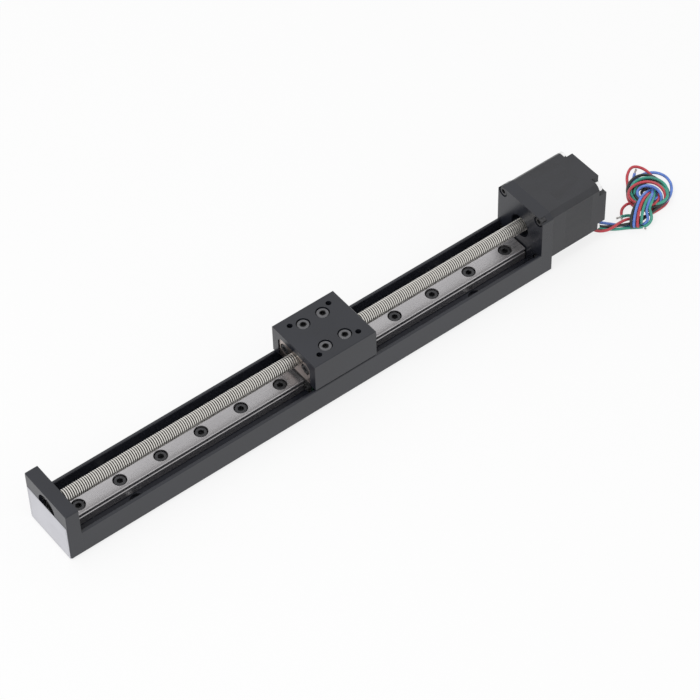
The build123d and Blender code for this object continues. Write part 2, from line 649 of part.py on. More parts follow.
def carriage_cap():
    """The saddle-shaped cap: counterbored clamp screws and four tapped holes on top."""
    half = BODY_WIDTH / 2
    inner = half - CAP_LEG
    face = section([
        (-half, CARRIAGE_BOTTOM), (-inner, CARRIAGE_BOTTOM),
        (-inner, CAP_OPENING_TOP - CAP_OPENING_CHAMFER), (-inner + CAP_OPENING_CHAMFER, CAP_OPENING_TOP),
        (inner - CAP_OPENING_CHAMFER, CAP_OPENING_TOP), (inner, CAP_OPENING_TOP - CAP_OPENING_CHAMFER),
        (inner, CARRIAGE_BOTTOM), (half, CARRIAGE_BOTTOM), (half, CARRIAGE_TOP), (-half, CARRIAGE_TOP),
    ])
    start = X_CARRIAGE - CARRIAGE_LENGTH / 2
    end = X_CARRIAGE + CARRIAGE_LENGTH / 2
    cap = along_x(face, start, end)
    cap = chamfer(cap.faces().sort_by(Axis.Z)[-1].edges(), EDGE_BREAK)
    seat = cap_screw_seat()
    for x, y in four(BLOCK_SCREW_X, BLOCK_SCREW_Y):
        opening_edge = CAP_OPENING_TOP - CAP_OPENING_CHAMFER
        cap -= rod_z(M3.shank / 2 + SHANK_CLEARANCE, opening_edge, CARRIAGE_TOP, X_CARRIAGE + x, y)
        cap -= rod_z(M3_LOW.head / 2 + HEAD_CLEARANCE, seat, CARRIAGE_TOP, X_CARRIAGE + x, y)
    for x, y in four(TAP_SPACING, TAP_SPACING):
        cap -= rod_z(TAP_DIAMETER / 2, CARRIAGE_TOP - TAP_DEPTH, CARRIAGE_TOP, X_CARRIAGE + x, y)
    return cap


def cap_screw_seat():
    """Height of the seat that the clamp screws' heads bear on."""
    return CARRIAGE_TOP - M3_LOW.head_height - CLAMP_HEAD_RECESS


def carriage_screws():
    """Four low-head screws through the cap and the nut block into the guide block."""
    seat = cap_screw_seat()
    length = seat - BLOCK_HEIGHT_TOP + CLAMP_ENGAGEMENT
    places = four(BLOCK_SCREW_X, BLOCK_SCREW_Y)
    return [Pos(X_CARRIAGE + x, y, seat) * screw(M3_LOW, length) for x, y in places]


def nut_block_section():
    """The nut block's outline: it fills the cap's opening with a small side gap."""
    half = BODY_WIDTH / 2 - CAP_LEG - NUT_BLOCK_SIDE_GAP
    corner = CAP_OPENING_CHAMFER
    return section([
        (-half, BLOCK_HEIGHT_TOP), (half, BLOCK_HEIGHT_TOP), (half, CAP_OPENING_TOP - corner),
        (half - corner, CAP_OPENING_TOP), (-half + corner, CAP_OPENING_TOP),
        (-half, CAP_OPENING_TOP - corner),
    ])


def nut_flange_start():
    """X of the nut flange's outer face."""
    return X_CARRIAGE - CARRIAGE_LENGTH / 2 + NUT_BLOCK_RECESS


def nut_screw_places():
    """Y of the two screws through the nut's flange."""
    return (-NUT_SCREW_Y / 2, NUT_SCREW_Y / 2)


def nut_block():
    """The block that carries the drive nut, clamped between the cap and the guide block."""
    start = nut_flange_start() + NUT_FLANGE_THICKNESS
    end = X_CARRIAGE + CARRIAGE_LENGTH / 2 - NUT_BLOCK_RECESS
    body = along_x(nut_block_section(), start, end)
    body -= rod_x(NUT_BARREL_DIAMETER / 2 + NUT_CLEARANCE, start, end)
    shaft = M3.shank / 2 + SHANK_CLEARANCE
    for x, y in four(BLOCK_SCREW_X, BLOCK_SCREW_Y):
        body -= rod_z(shaft, BLOCK_HEIGHT_TOP, CAP_OPENING_TOP, X_CARRIAGE + x, y)
    relief_floor = CARRIAGE_TOP - TAP_DEPTH - TAP_RELIEF
    for x, y in four(TAP_SPACING, TAP_SPACING):
        body -= rod_z(TAP_DIAMETER / 2 + TAP_RELIEF, relief_floor, CAP_OPENING_TOP, X_CARRIAGE + x, y)
    depth = NUT_SCREW_LENGTH - (NUT_FLANGE_THICKNESS - NUT_SCREW_HEAD_DEPTH) + NUT_SCREW_RUNOUT
    for y in nut_screw_places():
        body -= rod_x(M25.shank / 2 + THREAD_CLEARANCE, start, start + depth, y)
    return body


def drive_nut():
    """The nut: a flange with the nut block's outline and a barrel that plugs into the block."""
    start = nut_flange_start()
    flange_end = start + NUT_FLANGE_THICKNESS
    nut = along_x(nut_block_section(), start, flange_end)
    nut += rod_x(NUT_BARREL_DIAMETER / 2, flange_end, start + NUT_LENGTH)
    nut -= rod_x(SCREW_DIAMETER / 2 + NUT_CLEARANCE, start, start + NUT_LENGTH)
    for y in nut_screw_places():
        nut -= rod_x(M25.shank / 2 + SHANK_CLEARANCE, start, flange_end, y)
        nut -= rod_x(M25.head / 2 + HEAD_CLEARANCE, start, start + NUT_SCREW_HEAD_DEPTH, y)
    return nut


def nut_screws():
    """The two screws in the nut flange's counterbores."""
    seat = nut_flange_start() + NUT_SCREW_HEAD_DEPTH
    return [screw_x(M25, NUT_SCREW_LENGTH, seat, y, AXIS_HEIGHT, -1) for y in nut_screw_places()]


# Leads: points chosen by hand between the guide and the hank. X is from the motor's rear face

LEAD_PITCH = 1.5
LEAD_FIRST_RUN = 4.2
LEAD_EXIT_HEIGHT = MOTOR_BOTTOM - GUIDE_DROP / 2
LEAD_ROUTES = {
    "lead_red": [(0.2, -13.3, 3.0), (6.8, -16.4, 1.5), (13.0, -18.0, 1.2)],
    "lead_green": [(1.2, -12.1, 3.2), (7.8, -14.9, 1.8), (13.9, -16.5, 1.4)],
    "lead_black": [(2.2, -10.9, 3.4), (9.2, -13.4, 2.1), (15.5, -15.0, 1.7)],
    "lead_blue": [(3.2, -9.6, 3.6), (10.5, -12.0, 2.4), (17.5, -13.4, 2.0)],
}
HANK_CENTRE_X = 31.5
HANK_CENTRE_Y = -7.6
HANK_OUTER = 11.5
HANK_INNER = 3.6
HANK_HEIGHT = 7.6
HANK_CORNER = 2.2
BIGHT_LENGTH = 22.5
BIGHT_WIDTH = 7.5
BIGHT_ANGLE = 213.8
BIGHT_HEIGHT = 9.4
BIGHT_TIP_HEIGHT = 3.2
BIGHT_CREST = 0.45


def lead_points(index, chosen):
    """A lead's route: out of the guide square to its slanted side, then through the chosen points."""
    start = Vector(GUIDE_START, GUIDE_START_Y, LEAD_EXIT_HEIGHT)
    along = (Vector(GUIDE_END, GUIDE_END_Y, LEAD_EXIT_HEIGHT) - start).normalized()
    outward = Vector(along.Y, -along.X, 0)
    side_length = math.hypot(GUIDE_END - GUIDE_START, GUIDE_END_Y - GUIDE_START_Y)
    first_exit = (side_length - (len(LEAD_ROUTES) - 1) * LEAD_PITCH) / 2
    leaves = start + along * (first_exit + index * LEAD_PITCH)
    placed = [Vector(X_MOTOR_END + x, y, z) for x, y, z in chosen]
    return [leaves, leaves + outward * LEAD_FIRST_RUN] + placed


def lead_tube(placed):
    """A lead as straight runs joined by arcs as large as the runs allow."""
    radii = []
    for a, b, c in zip(placed, placed[1:], placed[2:]):
        turn = math.radians((b - a).get_angle(c - b))
        radii.append(LEAD_BEND_SHARE * min((b - a).length, (c - b).length) / math.tan(turn / 2))
    path = FilletPolyline(*placed, radius=radii)
    start = Plane(origin=placed[0], z_dir=placed[1] - placed[0])
    tube = sweep(start * Circle(LEAD_DIAMETER / 2), path=path)
    expected = math.pi * LEAD_DIAMETER**2 / 4 * path.length
    return tube, [round(r, 1) for r in radii], path.length, tube.volume / expected


def lead_hank():
    """The hank of spare lead: a flat ring of turns and the folded end laid across it."""
    flat_outer = HANK_OUTER - HANK_CORNER
    flat_inner = HANK_INNER + HANK_CORNER
    profile = section([
        (HANK_INNER, HANK_CORNER), (flat_inner, 0), (flat_outer, 0), (HANK_OUTER, HANK_CORNER),
        (HANK_OUTER, HANK_HEIGHT - HANK_CORNER), (flat_outer, HANK_HEIGHT), (flat_inner, HANK_HEIGHT),
        (HANK_INNER, HANK_HEIGHT - HANK_CORNER),
    ])
    ring = revolve(Plane.XZ * profile, axis=Axis.Z)
    side = section([
        (0, 0), (BIGHT_LENGTH, 0), (BIGHT_LENGTH, BIGHT_TIP_HEIGHT),
        (BIGHT_LENGTH * BIGHT_CREST, BIGHT_HEIGHT), (0, BIGHT_HEIGHT),
    ])
    bight = extrude(Plane.XZ * side, amount=BIGHT_WIDTH / 2, both=True)
    bight = chamfer(bight.edges().filter_by(Axis.X).group_by(Axis.Z)[-1], BIGHT_WIDTH / 4)
    hank = ring + Rot(0, 0, BIGHT_ANGLE) * bight
    return Pos(X_MOTOR_END + HANK_CENTRE_X, HANK_CENTRE_Y, 0) * hank


def build():
    """Make every sub-part."""
    keep("base_channel", base_channel())
    keep("bearing_end_plate", bearing_end_plate())
    keep("end_label", end_label())
    keep("end_plate_screws", *plate_screws(X_END_PLATE + PLATE_HEAD_DEPTH, -1))
    keep("motor_plate", motor_plate())
    keep("motor_plate_screws", *plate_screws(X_MOTOR - PLATE_HEAD_DEPTH, 1))
    seat = X_MOTOR_PLATE + M25.head_height + HEAD_CLEARANCE
    mounts = [screw_x(M25, MOUNT_SCREW_LENGTH, seat, y, z, -1) for y, z in motor_corners()]
    keep("motor_mount_screws", *mounts)

    ring_outer, ring_inner, shields = bearing(
        END_BEARING_OUTER, END_BEARING_WIDTH, X_CHANNEL - BEARING_SHOULDER - END_BEARING_WIDTH)
    keep("end_bearing_outer_ring", ring_outer)
    keep("end_bearing_inner_ring", ring_inner)
    keep("end_bearing_seals", *shields)
    fronts = bearing(MOTOR_BEARING_OUTER, MOTOR_BEARING_WIDTH, front_bearing_start())
    rears = bearing(MOTOR_BEARING_OUTER, MOTOR_BEARING_WIDTH, rear_bearing_start())
    keep("motor_bearing_outer_rings", fronts[0], rears[0])
    keep("motor_bearing_inner_rings", fronts[1], rears[1])
    keep("motor_bearing_shields", *fronts[2], *rears[2])

    keep("motor_front_cap", motor_front_cap())
    keep("motor_stator", motor_stator())
    keep("stator_coils", *stator_coils())
    keep("motor_rear_cap", motor_rear_cap())
    case_seat = X_MOTOR_END - NOTCH_DEPTH
    case_length = case_seat - (X_STACK - CASE_SCREW_REACH)
    cases = [screw_x(M25_PAN, case_length, case_seat, y, z, 1) for y, z in motor_corners()]
    keep("motor_case_screws", *cases)
    keep("bearing_wave_washer", wave_washer())
    keep("lead_guide", lead_guide())
    cups, magnet = rotor_parts()
    keep("rotor_cups", *cups)
    keep("rotor_magnet", magnet)
    keep("lead_screw", lead_screw())

    keep("guide_rail", guide_rail())
    keep("rail_screws", *rail_screws())
    keep("guide_block", guide_block())
    for name, side in (("front", -1), ("rear", 1)):
        cap, seal, screws = block_end(side)
        keep(f"block_end_cap_{name}", cap)
        keep(f"block_seal_{name}", seal)
        keep(f"block_end_screws_{name}", *screws)

    keep("carriage_cap", carriage_cap())
    keep("carriage_screws", *carriage_screws())
    keep("nut_block", nut_block())
    keep("drive_nut", drive_nut())
    keep("nut_screws", *nut_screws())

    for index, (name, chosen) in enumerate(LEAD_ROUTES.items()):
        tube, radii, length, ratio = lead_tube(lead_points(index, chosen))
        print(f"{name}: radii {radii}, length {length:.1f}, volume against section by length {ratio:.4f}")
        keep(name, tube)
    keep("lead_hank", lead_hank())


def write():
    """Write one STEP file for each node."""
    os.makedirs("parts", exist_ok=True)
    for name, shape in PARTS.items():
        export_step(shape, f"parts/{name}.step")


build()
write()
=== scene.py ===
"""Dress the stepper linear actuator: finishes, the screw's thread, the motor's leads and a small studio."""

import math
from dataclasses import dataclass

import bmesh
import bpy
from bpy.props import FloatProperty, FloatVectorProperty, PointerProperty
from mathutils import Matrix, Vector


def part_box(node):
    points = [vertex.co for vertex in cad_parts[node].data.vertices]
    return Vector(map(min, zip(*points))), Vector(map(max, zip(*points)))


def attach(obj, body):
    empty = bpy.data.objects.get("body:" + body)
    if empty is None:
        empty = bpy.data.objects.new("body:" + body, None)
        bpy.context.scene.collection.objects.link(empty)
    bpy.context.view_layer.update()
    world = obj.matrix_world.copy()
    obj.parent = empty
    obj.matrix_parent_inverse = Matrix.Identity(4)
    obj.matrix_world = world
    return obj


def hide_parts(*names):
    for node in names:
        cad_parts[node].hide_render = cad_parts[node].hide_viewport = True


bl_info = {
    "name": "Stepper Linear Actuator Dressing",
    "version": (1, 0, 0),
    "blender": (4, 5, 0),
    "location": "View3D > Sidebar > Actuator",
    "description": "Finishes, thread, leads and studio for a screw-driven linear stage",
    "category": "Object",
}

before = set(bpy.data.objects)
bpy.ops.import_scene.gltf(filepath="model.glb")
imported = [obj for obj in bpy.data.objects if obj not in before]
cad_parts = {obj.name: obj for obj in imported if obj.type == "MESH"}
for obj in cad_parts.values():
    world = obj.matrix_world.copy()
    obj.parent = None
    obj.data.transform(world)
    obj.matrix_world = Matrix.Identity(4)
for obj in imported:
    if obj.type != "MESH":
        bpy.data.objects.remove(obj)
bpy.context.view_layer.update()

MM = 0.001
PER_MM = 1000.0


# Places read from the frame, in metres

def low(node):
    """A node's lowest corner."""
    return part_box(node)[0]


def high(node):
    """A node's highest corner."""
    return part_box(node)[1]


AXIS_HEIGHT = (low("lead_screw").z + high("lead_screw").z) / 2
MOTOR_END = high("motor_rear_cap").x


# Properties

def length_property(name, description, default):
    """A size in metres."""
    return FloatProperty(name=name, description=description, default=default, unit="LENGTH", precision=5)


def colour_property(name, description, default):
    """A linear colour."""
    return FloatVectorProperty(name=name, description=description, default=default, subtype="COLOR",
                               size=3, min=0.0, max=1.0)


class ActuatorSizes(bpy.types.PropertyGroup):
    """Sizes of the pieces that are made here."""

    thread_pitch: length_property("Thread pitch", "Travel for each turn of the screw", 1.0 * MM)
    thread_diameter: length_property("Thread diameter", "Outside diameter of the screw's thread", 6.0 * MM)
    thread_depth: length_property("Thread depth", "Depth of the thread from crest to root", 0.56 * MM)
    lead_diameter: length_property("Lead diameter", "Outside diameter of a motor lead", 1.3 * MM)
    lead_length: length_property("Lead length", "Length of each motor lead", 235.0 * MM)
    strand_diameter: length_property("Strand diameter", "Diameter of one wire in a bared lead end", 0.3 * MM)
    bared_length: length_property("Bared length", "Length of bare wire at the end of a lead", 2.4 * MM)


class ActuatorColours(bpy.types.PropertyGroup):
    """Base colours of the finishes."""

    anodised: colour_property("Anodised black", "Channel, plates and carriage cap", (0.0135, 0.015, 0.0215))
    motor: colour_property("Motor black", "Coated motor caps and laminations", (0.0205, 0.0212, 0.0255))
    rail: colour_property("Rail steel", "Ground guide rail", (0.47, 0.458, 0.468))
    thread: colour_property("Thread steel", "Rolled screw thread", (0.72, 0.7, 0.662))
    nut: colour_property("Nut bronze", "Drive nut and its block", (0.46, 0.4, 0.37))
    label: colour_property("Label silver", "Bare plate on the bearing end", (0.6, 0.6, 0.64))
    end_cap: colour_property("End cap green", "Moulded ends of the guide block", (0.02, 0.075, 0.045))
    blue: colour_property("Blue lead", "Insulation of the blue lead", (0.125, 0.245, 0.68))
    black: colour_property("Black lead", "Insulation of the black lead", (0.02, 0.024, 0.024))
    green: colour_property("Green lead", "Insulation of the green lead", (0.05, 0.34, 0.25))
    red: colour_property("Red lead", "Insulation of the red lead", (0.56, 0.055, 0.075))


class ActuatorStudio(bpy.types.PropertyGroup):
    """Floor and light."""

    floor: colour_property("Floor", "Colour of the plain floor", (0.93, 0.93, 0.93))
    surround: FloatProperty(name="Surround", description="Strength of the white surround on the object",
                            default=0.74, min=0.0, max=2.0)
    key_power: FloatProperty(name="Key light", description="Power of the large soft lamp in watts",
                             default=4.6, min=0.0, max=50.0)


# Materials

# The middle of a noise pattern's range, where nearly all of its values lie
MIDDLE_START = 0.3
MIDDLE_END = 0.7
BEVEL_SAMPLES = 4


class Finish:
    """A node material being put together round one principled shader."""

    def __init__(self, name, colour, roughness, metallic=0.0):
        self.material = bpy.data.materials.new(name)
        self.material.use_nodes = True
        self.tree = self.material.node_tree
        self.shader = self.tree.nodes["Principled BSDF"]
        self.shader.inputs["Base Color"].default_value = (*colour, 1.0)
        self.shader.inputs["Roughness"].default_value = roughness
        self.shader.inputs["Metallic"].default_value = metallic
        self.place = self.add("ShaderNodeTexCoord").outputs["Object"]
        self.normal = None

    def add(self, kind):
        """Add a node."""
        return self.tree.nodes.new(kind)

    def link(self, output, socket):
        """Join two sockets."""
        self.tree.links.new(output, socket)

    def noise(self, per_mm, detail, stretch=(1.0, 1.0, 1.0)):
        """Noise with so many features to a millimetre, drawn out along an axis by a small stretch."""
        mapping = self.add("ShaderNodeMapping")
        mapping.inputs["Scale"].default_value = stretch
        self.link(self.place, mapping.inputs["Vector"])
        texture = self.add("ShaderNodeTexNoise")
        texture.inputs["Scale"].default_value = per_mm * PER_MM
        texture.inputs["Detail"].default_value = detail
        self.link(mapping.outputs["Vector"], texture.inputs["Vector"])
        return texture.outputs["Fac"]

    def ramp(self, value, stops):
        """A colour ramp from (position, colour) stops."""
        node = self.add("ShaderNodeValToRGB")
        elements = node.color_ramp.elements
        while len(elements) < len(stops):
            elements.new(0.5)
        for element, (position, colour) in zip(elements, stops):
            element.position = position
            element.color = (*colour, 1.0)
        self.link(value, node.inputs["Fac"])
        return node.outputs["Color"]

    def span(self, value, low_value, high_value, start=MIDDLE_START, end=MIDDLE_END):
        """Map a value's middle range onto two numbers."""
        node = self.add("ShaderNodeMapRange")
        node.inputs["From Min"].default_value = start
        node.inputs["From Max"].default_value = end
        node.inputs["To Min"].default_value = low_value
        node.inputs["To Max"].default_value = high_value
        self.link(value, node.inputs["Value"])
        return node.outputs["Result"]

    def tint(self, value, colour, amount):
        """Let a pattern lighten and darken the base colour a little."""
        darker = [c * (1.0 - amount) for c in colour]
        lighter = [min(1.0, c * (1.0 + amount)) for c in colour]
        self.colour(self.ramp(value, ((MIDDLE_START, darker), (MIDDLE_END, lighter))))

    def colour(self, value):
        """Take the base colour from a pattern."""
        self.link(value, self.shader.inputs["Base Color"])

    def rough(self, value, low_value, high_value):
        """Let a pattern vary the roughness between two numbers."""
        self.link(self.span(value, low_value, high_value), self.shader.inputs["Roughness"])

    def bump(self, value, depth_mm, strength):
        """Raise the surface by a pattern."""
        node = self.add("ShaderNodeBump")
        node.inputs["Strength"].default_value = strength
        node.inputs["Distance"].default_value = depth_mm * MM
        self.link(value, node.inputs["Height"])
        if self.normal is not None:
            self.link(self.normal, node.inputs["Normal"])
        self.normal = node.outputs["Normal"]
        self.link(self.normal, self.shader.inputs["Normal"])

    def soft_edges(self, radius_mm):
        """Round the shading of sharp edges."""
        node = self.add("ShaderNodeBevel")
        node.samples = BEVEL_SAMPLES
        node.inputs["Radius"].default_value = radius_mm * MM
        self.normal = node.outputs["Normal"]
        self.link(self.normal, self.shader.inputs["Normal"])

    def part(self, axis):
        """One coordinate of the place on the object, in millimetres."""
        split = self.add("ShaderNodeSeparateXYZ")
        self.link(self.place, split.inputs["Vector"])
        return self.maths("MULTIPLY", split.outputs[axis], PER_MM)

    def distance(self, first, second):
        """The distance from an axis, given two coordinates measured from it."""
        squares = [self.maths("MULTIPLY", value, value) for value in (first, second)]
        return self.maths("POWER", self.maths("ADD", *squares), 0.5)

    def maths(self, operation, first, second=None):
        """A maths node on sockets or numbers."""
        node = self.add("ShaderNodeMath")
        node.operation = operation
        for socket, value in zip(node.inputs, (first, second)):
            if value is None:
                continue
            if isinstance(value, (int, float)):
                socket.default_value = value
            else:
                self.link(value, socket)
        return node.outputs["Value"]


def anodised_aluminium(colour):
    """Blasted and black anodised aluminium: a fine even grain under a satin oxide skin."""
    finish = Finish("anodised_aluminium", colour, roughness=0.3)
    finish.soft_edges(radius_mm=0.12)
    cloud = finish.noise(per_mm=0.05, detail=4.0)
    grain = finish.noise(per_mm=6.0, detail=2.0)
    finish.tint(cloud, colour, amount=0.16)
    finish.rough(cloud, 0.27, 0.34)
    finish.bump(grain, depth_mm=0.004, strength=0.5)
    return finish.material


def motor_coat(colour):
    """Black coat on the motor's cast caps, with a light orange-peel."""
    finish = Finish("motor_coat", colour, roughness=0.45)
    finish.soft_edges(radius_mm=0.15)
    peel = finish.noise(per_mm=1.8, detail=3.0)
    cloud = finish.noise(per_mm=0.08, detail=4.0)
    finish.tint(cloud, colour, amount=0.2)
    finish.rough(cloud, 0.4, 0.5)
    finish.bump(peel, depth_mm=0.015, strength=0.5)
    return finish.material


SHEET_THICKNESS = 0.5
SHEET_LINE = 0.09


def motor_stack(colour):
    """Coated laminations: a fine line at each half-millimetre sheet."""
    finish = Finish("motor_stack", colour, roughness=0.48)
    sheet = finish.maths("PINGPONG", finish.part("X"), SHEET_THICKNESS / 2)
    line = finish.span(sheet, 0.0, 1.0, 0.0, SHEET_LINE)
    cloud = finish.noise(per_mm=0.3, detail=4.0, stretch=(0.15, 1.0, 1.0))
    finish.tint(cloud, colour, amount=0.25)
    finish.rough(cloud, 0.42, 0.54)
    finish.bump(line, depth_mm=0.05, strength=0.8)
    return finish.material


def ground_rail(colour):
    """Hardened rail steel with the grinder's marks along its length."""
    finish = Finish("ground_rail", colour, roughness=0.3, metallic=0.8)
    finish.soft_edges(radius_mm=0.08)
    marks = finish.noise(per_mm=4.0, detail=2.0, stretch=(0.02, 1.0, 1.0))
    cloud = finish.noise(per_mm=0.06, detail=4.0, stretch=(0.3, 1.0, 1.0))
    finish.tint(cloud, colour, amount=0.1)
    finish.rough(marks, 0.24, 0.38)
    finish.bump(marks, depth_mm=0.004, strength=0.35)
    return finish.material


# Painted shade in the thread's hollows: the colour at the root, the flanks' share of the crest colour, and
# how far a random smear shifts it
ROOT_PAINTED_SHADE = (0.07, 0.068, 0.066)
FLANK_SHADE = 0.6
SMEAR = 0.08


def rolled_thread(colour, sizes):
    """Rolled thread: polished crests, with painted shade that darkens the flanks and most of all the roots.
    """
    finish = Finish("rolled_thread", colour, roughness=0.3, metallic=0.85)
    above_axis = finish.maths("SUBTRACT", finish.part("Z"), AXIS_HEIGHT * PER_MM)
    radius = finish.distance(finish.part("Y"), above_axis)
    crest = sizes.thread_diameter / 2 * PER_MM
    root = crest - sizes.thread_depth * PER_MM
    height = finish.span(radius, 0.0, 1.0, root, crest)
    smear = finish.noise(per_mm=0.12, detail=3.0, stretch=(0.4, 1.0, 1.0))
    mixed = finish.maths("ADD", height, finish.span(smear, -SMEAR, SMEAR))
    flank = [c * FLANK_SHADE for c in colour]
    # Painted shade by height on the thread: dark at the root, darker on the flanks, full colour at the crest
    finish.colour(finish.ramp(mixed, ((0.12, ROOT_PAINTED_SHADE), (0.5, flank), (0.88, colour))))
    finish.rough(smear, 0.26, 0.36)
    return finish.material


def turned_bronze(colour):
    """Fine turned pale bronze of the drive nut."""
    finish = Finish("turned_bronze", colour, roughness=0.3, metallic=1.0)
    finish.soft_edges(radius_mm=0.1)
    cloud = finish.noise(per_mm=0.25, detail=4.0)
    marks = finish.noise(per_mm=5.0, detail=2.0, stretch=(1.0, 0.08, 1.0))
    finish.tint(cloud, colour, amount=0.14)
    finish.rough(cloud, 0.26, 0.38)
    finish.bump(marks, depth_mm=0.004, strength=0.4)
    return finish.material


# Painted shade of the pressed line: its inset from the edge, half width, fade, darkening and the darkest
# share of the colour
LABEL_LINE_INSET = 0.9
LABEL_LINE_HALF = 0.05
LABEL_LINE_FADE = 0.16
LABEL_LINE_SHADE = 0.72
LABEL_DARKEST = 0.7


def silver_film(colour):
    """Bare silver film plate, brushed across, with the shade of a faint pressed line round its edge painted
    in as a darker line.
    """
    finish = Finish("silver_film", colour, roughness=0.34, metallic=0.85)
    brushed = finish.noise(per_mm=7.0, detail=2.0, stretch=(1.0, 0.02, 1.0))
    cloud = finish.noise(per_mm=0.1, detail=3.0)
    lowest = low("end_label")
    highest = high("end_label")
    middle = (lowest.z + highest.z) / 2 * PER_MM
    half_height = (highest.z - lowest.z) / 2 * PER_MM
    from_middle = finish.maths("SUBTRACT", finish.part("Z"), middle)
    side = finish.maths("SUBTRACT", highest.y * PER_MM, finish.maths("ABSOLUTE", finish.part("Y")))
    end = finish.maths("SUBTRACT", half_height, finish.maths("ABSOLUTE", from_middle))
    inset = finish.maths("MINIMUM", side, end)
    off_line = finish.maths("ABSOLUTE", finish.maths("SUBTRACT", inset, LABEL_LINE_INSET))
    line = finish.span(off_line, LABEL_LINE_SHADE, 1.0, LABEL_LINE_HALF, LABEL_LINE_FADE)
    shade = finish.maths("MULTIPLY", line, finish.span(cloud, 0.95, 1.02))
    dark = [c * LABEL_DARKEST for c in colour]
    finish.colour(finish.ramp(shade, ((LABEL_DARKEST, dark), (1.0, colour))))
    finish.rough(brushed, 0.28, 0.42)
    finish.bump(brushed, depth_mm=0.003, strength=0.3)
    return finish.material


def machined_metal(name, colour, roughness):
    """Small machined steel or plated part with faint turning marks."""
    finish = Finish(name, colour, roughness=roughness, metallic=1.0)
    finish.soft_edges(radius_mm=0.06)
    cloud = finish.noise(per_mm=0.7, detail=4.0)
    marks = finish.noise(per_mm=8.0, detail=2.0)
    finish.tint(cloud, colour, amount=0.15)
    finish.rough(cloud, roughness * 0.85, roughness * 1.2)
    finish.bump(marks, depth_mm=0.003, strength=0.4)
    return finish.material


def black_oxide(name, colour, roughness):
    """Oiled black oxide on screws, a little brighter where a driver has rubbed."""
    finish = Finish(name, colour, roughness=roughness, metallic=0.6)
    finish.soft_edges(radius_mm=0.1)
    cloud = finish.noise(per_mm=0.9, detail=4.0)
    marks = finish.noise(per_mm=7.0, detail=2.0)
    finish.tint(cloud, colour, amount=0.3)
    finish.rough(cloud, roughness * 0.8, roughness * 1.25)
    finish.bump(marks, depth_mm=0.004, strength=0.4)
    return finish.material


CLAMP_SPAN_X = 10.0
CLAMP_SPAN_Y = 15.0
# Painted shade in each head's socket: its reach, fade, raggedness, darkening and colour
SOCKET_MOUTH = 1.5
MOUTH_FADE = (-0.15, 0.05)
MOUTH_RAGGED = 0.12
MOUTH_SHADE = 0.12
SOCKET_PAINTED_SHADE = (0.008, 0.008, 0.009)


def clamp_screw(colour):
    """Grey oxide on the carriage's low heads, with painted shade darkening the socket and its mouth in the
    middle of each.
    """
    finish = Finish("clamp_screw_grey", colour, roughness=0.36, metallic=0.6)
    finish.soft_edges(radius_mm=0.08)
    cloud = finish.noise(per_mm=0.9, detail=4.0)
    marks = finish.noise(per_mm=7.0, detail=2.0)
    middle = (low("carriage_screws").x + high("carriage_screws").x) / 2 * PER_MM
    along = finish.maths("ABSOLUTE", finish.maths("SUBTRACT", finish.part("X"), middle))
    along = finish.maths("SUBTRACT", along, CLAMP_SPAN_X / 2)
    across = finish.maths("SUBTRACT", finish.maths("ABSOLUTE", finish.part("Y")), CLAMP_SPAN_Y / 2)
    wander = finish.span(cloud, -MOUTH_RAGGED, MOUTH_RAGGED)
    radius = finish.maths("ADD", finish.distance(along, across), wander)
    fade_start, fade_end = [SOCKET_MOUTH + offset for offset in MOUTH_FADE]
    lit = finish.span(radius, MOUTH_SHADE, 1.0, fade_start, fade_end)
    shade = finish.maths("MULTIPLY", lit, finish.span(cloud, 0.75, 1.0))
    finish.colour(finish.ramp(shade, ((0.1, SOCKET_PAINTED_SHADE), (1.0, colour))))
    finish.rough(cloud, 0.3, 0.44)
    finish.bump(marks, depth_mm=0.004, strength=0.4)
    return finish.material


def moulded_plastic(name, colour, roughness):
    """Moulded plastic or rubber with a spark-eroded skin."""
    finish = Finish(name, colour, roughness=roughness)
    finish.soft_edges(radius_mm=0.1)
    cloud = finish.noise(per_mm=0.3, detail=3.0)
    grain = finish.noise(per_mm=5.0, detail=2.0)
    finish.tint(cloud, colour, amount=0.12)
    finish.rough(cloud, roughness * 0.9, roughness * 1.15)
    finish.bump(grain, depth_mm=0.01, strength=0.4)
    return finish.material


GLOW_SHARE = 0.08
GLOW_DEPTH = 0.4 * MM


def lead_insulation(name, colour):
    """Soft glossy insulation, drawn along the lead, a little dull where it has been handled."""
    finish = Finish(name, colour, roughness=0.34)
    cloud = finish.noise(per_mm=0.35, detail=3.0)
    drawn = finish.noise(per_mm=2.5, detail=2.0)
    finish.tint(cloud, colour, amount=0.16)
    finish.rough(cloud, 0.28, 0.42)
    finish.bump(drawn, depth_mm=0.01, strength=0.35)
    finish.shader.inputs["Subsurface Weight"].default_value = GLOW_SHARE
    finish.shader.inputs["Subsurface Radius"].default_value = (GLOW_DEPTH,) * 3
    return finish.material


def paint(material, *nodes):
    """Give CAD nodes a finish."""
    for node in nodes:
        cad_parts[node].material_slots[0].material = material


# Plain finishes: name, colour, roughness and the CAD nodes that wear it
SCREWS = (
    ("screw_black", (0.05, 0.05, 0.053), 0.34,
     ("end_plate_screws", "motor_plate_screws", "motor_mount_screws", "nut_screws",
      "block_end_screws_front", "block_end_screws_rear")),
    ("rail_screw_black", (0.06, 0.06, 0.064), 0.33, ("rail_screws",)),
)
CLAMP_SCREW_GREY = (0.15, 0.15, 0.158)
MOTOR_METALS = (
    ("case_screw_bright", (0.86, 0.86, 0.86), 0.2,
     ("motor_case_screws", "bearing_wave_washer", "motor_bearing_shields")),
    ("bearing_steel", (0.6, 0.6, 0.61), 0.18,
     ("end_bearing_outer_ring", "end_bearing_inner_ring", "motor_bearing_outer_rings",
      "motor_bearing_inner_rings")),
    ("rotor_steel", (0.33, 0.33, 0.34), 0.4, ("rotor_cups",)),
    ("magnet", (0.14, 0.14, 0.15), 0.5, ("rotor_magnet",)),
    ("copper_winding", (0.6, 0.27, 0.12), 0.35, ("stator_coils",)),
)
